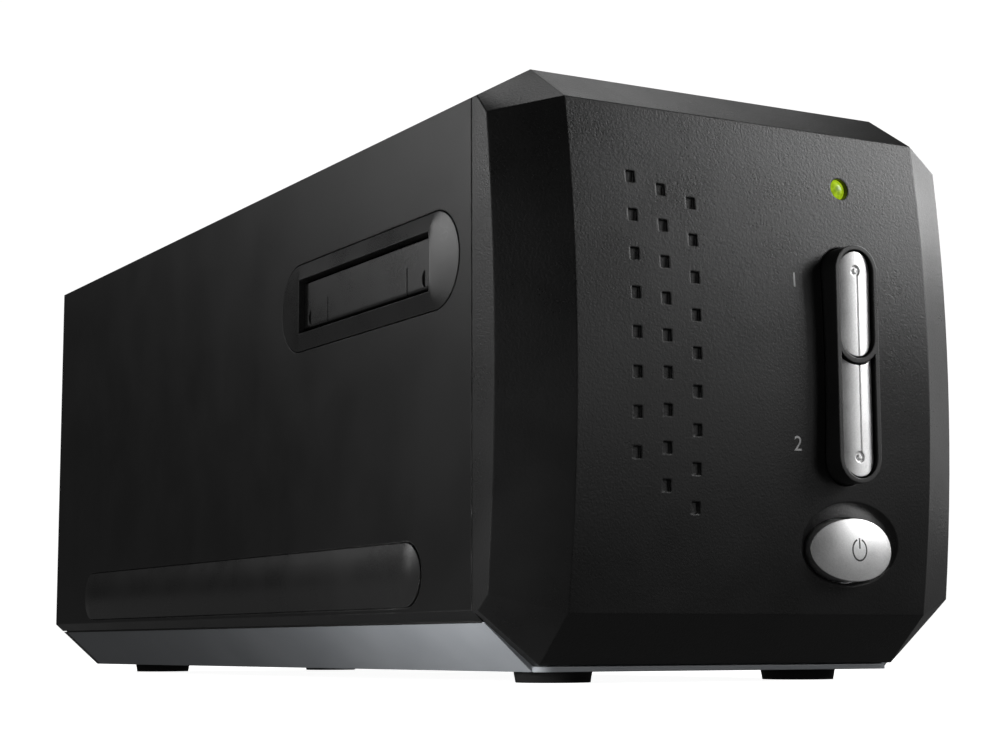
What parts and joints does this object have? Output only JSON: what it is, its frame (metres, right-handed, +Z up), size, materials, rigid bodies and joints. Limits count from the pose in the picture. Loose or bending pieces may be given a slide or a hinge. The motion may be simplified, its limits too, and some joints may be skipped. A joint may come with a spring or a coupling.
{
  "type": "film negative scanner",
  "caption": "Long boxy desktop film scanner with a bowed faceted front, round-ended film gates in both sides, two long keys, an oval power key and a travelling optical carriage.",
  "frame": {"origin": "bottom centre of the whole scanner's box, on the plane of the feet", "axes": "+Z up, -Y towards the front face with the keys, +X to the right seen from the front"},
  "size_m": [0.1124, 0.276, 0.1188],
  "materials": {
    "silver_plastic": "satin silver-grey with a fine metallic tint",
    "black_coat": "smooth satin black",
    "black_textured": "fine-grained black moulding",
    "black_satin": "smooth satin black moulding",
    "rubber": "matt black",
    "satin_chrome": "satin",
    "light_pipe": "clear, lit yellow-green",
    "lit_diode": "lit",
    "white_diode": "clear",
    "diffuser": "frosted white",
    "frame_plastic": "glass-filled black",
    "circuit_board": "green solder mask",
    "chip_black": "moulded package",
    "switch_case": "black",
    "plunger_plastic": "natural acetal",
    "rod_steel": "ground",
    "screw_steel": "blackened",
    "spring_steel": "polished",
    "motor_steel": "plated",
    "socket_steel": "plated",
    "bearing_bronze": "sintered",
    "bracket_aluminium": "plain",
    "lens_aluminium": "black anodised",
    "lens_glass": "coated",
    "mirror": "front-coated"
  },
  "bodies": {
    "chassis": {"base_tray": "silver_plastic", "top_cover": "black_coat", "front_bezel": "black_textured", "rear_panel": "black_textured", "rubber_feet": "rubber", "film_gate_left": "black_satin", "film_gate_right": "black_satin", "side_pad_left": "black_satin", "side_pad_right": "black_satin", "scan_button_surround": "black_satin", "tact_switches": "switch_case", "button_board": "circuit_board", "button_board_screws": "screw_steel", "status_diode": "lit_diode", "status_light": "light_pipe", "optical_frame": "frame_plastic", "film_guide_lower": "frame_plastic", "film_guide_upper": "frame_plastic", "indexing_spring": "spring_steel", "lamp_housing": "frame_plastic", "lamp_board": "circuit_board", "lamp_diodes": "white_diode", "light_diffuser": "diffuser", "guide_rods": "rod_steel", "home_sensor": "switch_case", "screw_bearing": "bearing_bronze", "motor_bracket": "bracket_aluminium", "stepper_motor": "motor_steel", "main_board": "circuit_board", "main_board_chips": "chip_black", "usb_socket": "socket_steel", "power_socket": "switch_case", "frame_screws": "screw_steel", "main_board_screws": "screw_steel", "rear_panel_screws": "screw_steel", "bezel_screws": "screw_steel"},
    "left_door": {"dust_door_left": "black_satin"},
    "right_door": {"dust_door_right": "black_satin"},
    "upper_key": {"scan_button_upper": "satin_chrome", "switch_plunger_upper": "plunger_plastic"},
    "lower_key": {"scan_button_lower": "satin_chrome", "switch_plunger_lower": "plunger_plastic"},
    "power_key": {"power_button": "satin_chrome", "switch_plunger_power": "plunger_plastic"},
    "carriage": {"scan_carriage": "frame_plastic", "carriage_bushes": "bearing_bronze", "drive_nut": "plunger_plastic", "scan_mirror": "mirror", "lens_barrel": "lens_aluminium", "lens_glass": "lens_glass", "lens_strap": "bracket_aluminium", "sensor_board": "circuit_board", "image_sensor": "chip_black"},
    "drive_screw": {"lead_screw": "rod_steel"}
  },
  "joints": [
    {"name": "left_door_hinge", "type": "hinge", "parent": "chassis", "child": "left_door", "pos_m": [-0.0536, -0.0693, 0.07795], "axis": [0, 1, 0], "range_deg": [-80, 80], "stiffness_Nm_per_rad": 0.002},
    {"name": "right_door_hinge", "type": "hinge", "parent": "chassis", "child": "right_door", "pos_m": [0.0536, -0.0693, 0.07795], "axis": [0, 1, 0], "range_deg": [-80, 80], "stiffness_Nm_per_rad": 0.002},
    {"name": "upper_key_slide", "type": "slide", "parent": "chassis", "child": "upper_key", "axis": [0, 1, 0], "range_m": [0, 0.0008], "stiffness_N_per_m": 1000, "springref_m": -0.0005},
    {"name": "lower_key_slide", "type": "slide", "parent": "chassis", "child": "lower_key", "axis": [0, 1, 0], "range_m": [0, 0.0008], "stiffness_N_per_m": 1000, "springref_m": -0.0005},
    {"name": "power_key_slide", "type": "slide", "parent": "chassis", "child": "power_key", "axis": [0, 1, 0], "range_m": [0, 0.0008], "stiffness_N_per_m": 1000, "springref_m": -0.0005},
    {"name": "carriage_slide", "type": "slide", "parent": "chassis", "child": "carriage", "axis": [0, 1, 0], "range_m": [0, 0.036]},
    {"name": "drive_screw_turn", "type": "hinge", "parent": "chassis", "child": "drive_screw", "pos_m": [0, 0, 0.03644], "axis": [0, 1, 0], "range_deg": [-1620, 0]}
  ],
  "couplings": [
    {"joint": "drive_screw_turn", "follows": "carriage_slide", "rad_per_m": -785.3}
  ]
}
